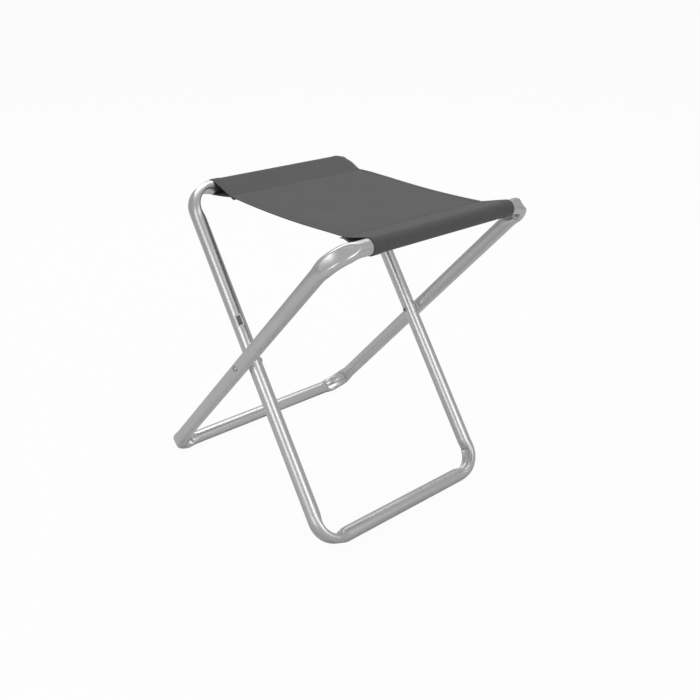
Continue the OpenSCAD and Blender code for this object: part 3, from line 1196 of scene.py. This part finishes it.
def make_camera(stage):
    """The camera, in front of the stool's outer rail and to its left."""
    turn, height = CAMERA_TURN, CAMERA_HEIGHT
    right = Vector((math.cos(turn), math.sin(turn), 0))
    level = math.cos(height)
    back = Vector((math.sin(turn) * level, -math.cos(turn) * level, math.sin(height)))
    up = back.cross(right)
    aside, above = CAMERA_OFFSET
    place = PIVOT + right * aside + up * above + back * CAMERA_DISTANCE
    start_fresh()
    bpy.ops.object.camera_add()
    camera = bpy.context.object
    turned = Matrix((right, up, back)).transposed() @ Matrix.Rotation(CAMERA_ROLL, 3, "Z")
    camera.matrix_world = Matrix.Translation(place) @ turned.to_4x4()
    camera.data.lens = stage.lens
    camera.data.sensor_width = 36
    camera.data.shift_x, camera.data.shift_y = CAMERA_SHIFT
    camera.data.clip_end = 200
    bpy.context.scene.camera = camera
    bpy.context.scene.view_settings.view_transform = "Standard"


# Operators


class CAMPSTOOL_OT_tube_loops(bpy.types.Operator):
    """Make the two loops of bent tube"""

    bl_idname = "campstool.tube_loops"
    bl_label = "Tube loops"

    def execute(self, context):
        sizes = context.scene.camp_stool_frame
        material = drawn_aluminium("frame_aluminium", sizes.colour, "drawn_place", 0.34)
        for which in LOOPS:
            make_loop(which, sizes, material)
        return {"FINISHED"}


class CAMPSTOOL_OT_fittings(bpy.types.Operator):
    """Finish the ferrules, the rivets and the spacers"""

    bl_idname = "campstool.fittings"
    bl_label = "Fittings"

    def execute(self, context):
        finishes = {
            "ferrule": drawn_aluminium("ferrule_aluminium", (0.6, 0.6, 0.61), "", 0.34),
            "rivet": zinc_steel(),
            "spacer": natural_nylon(),
        }
        for name, node in frame["nodes"].items():
            for word, material in finishes.items():
                if name.endswith(word):
                    node.data.materials.clear()
                    node.data.materials.append(material)
        return {"FINISHED"}


class CAMPSTOOL_OT_seat(bpy.types.Operator):
    """Make the seat cloth and its stitching"""

    bl_idname = "campstool.seat"
    bl_label = "Seat"

    def execute(self, context):
        seat = context.scene.camp_stool_seat
        cloth, flat = make_seat(seat, coated_cloth(seat))
        rows = make_stitching(seat, cloth, sewing_thread(seat))
        return {"FINISHED"}


class CAMPSTOOL_OT_sticker(bpy.types.Operator):
    """Make the blank sticker on the inner frame"""

    bl_idname = "campstool.sticker"
    bl_label = "Sticker"

    def execute(self, context):
        make_label(printed_film())
        return {"FINISHED"}


class CAMPSTOOL_OT_stage(bpy.types.Operator):
    """Make the floor, the lights and the camera"""

    bl_idname = "campstool.stage"
    bl_label = "Stage"

    def execute(self, context):
        stage = context.scene.camp_stool_stage
        make_floor(stage.floor_size)
        make_lights(stage)
        make_camera(stage)
        return {"FINISHED"}


class CAMPSTOOL_PT_panel(bpy.types.Panel):
    """The stool's pieces and their sizes"""

    bl_idname = "CAMPSTOOL_PT_panel"
    bl_label = "Camp stool"
    bl_space_type = "VIEW_3D"
    bl_region_type = "UI"
    bl_category = "Camp stool"

    def draw(self, context):
        layout = self.layout
        for operator in OPERATORS:
            layout.operator(operator.bl_idname)
        for name in SETTINGS:
            group = getattr(context.scene, name)
            box = layout.box()
            for key in group.__annotations__:
                box.prop(group, key)


OPERATORS = (
    CAMPSTOOL_OT_tube_loops,
    CAMPSTOOL_OT_fittings,
    CAMPSTOOL_OT_seat,
    CAMPSTOOL_OT_sticker,
    CAMPSTOOL_OT_stage,
)
SETTINGS = {
    "camp_stool_frame": CampStoolFrame,
    "camp_stool_seat": CampStoolSeat,
    "camp_stool_stage": CampStoolStage,
}
CLASSES = (*SETTINGS.values(), *OPERATORS, CAMPSTOOL_PT_panel)


def register():
    """Adds the operators, the settings and the panel."""
    for cls in CLASSES:
        bpy.utils.register_class(cls)
    for name, group in SETTINGS.items():
        setattr(bpy.types.Scene, name, PointerProperty(type=group))


def unregister():
    """Takes the operators, the settings and the panel away."""
    for name in SETTINGS:
        delattr(bpy.types.Scene, name)
    for cls in reversed(CLASSES):
        bpy.utils.unregister_class(cls)


def main():
    """Makes every piece and the stage."""
    register()
    bpy.ops.campstool.tube_loops()
    bpy.ops.campstool.fittings()
    bpy.ops.campstool.seat()
    bpy.ops.campstool.sticker()
    bpy.ops.campstool.stage()
    bpy.context.view_layer.update()


if __name__ == "__main__":
    main()
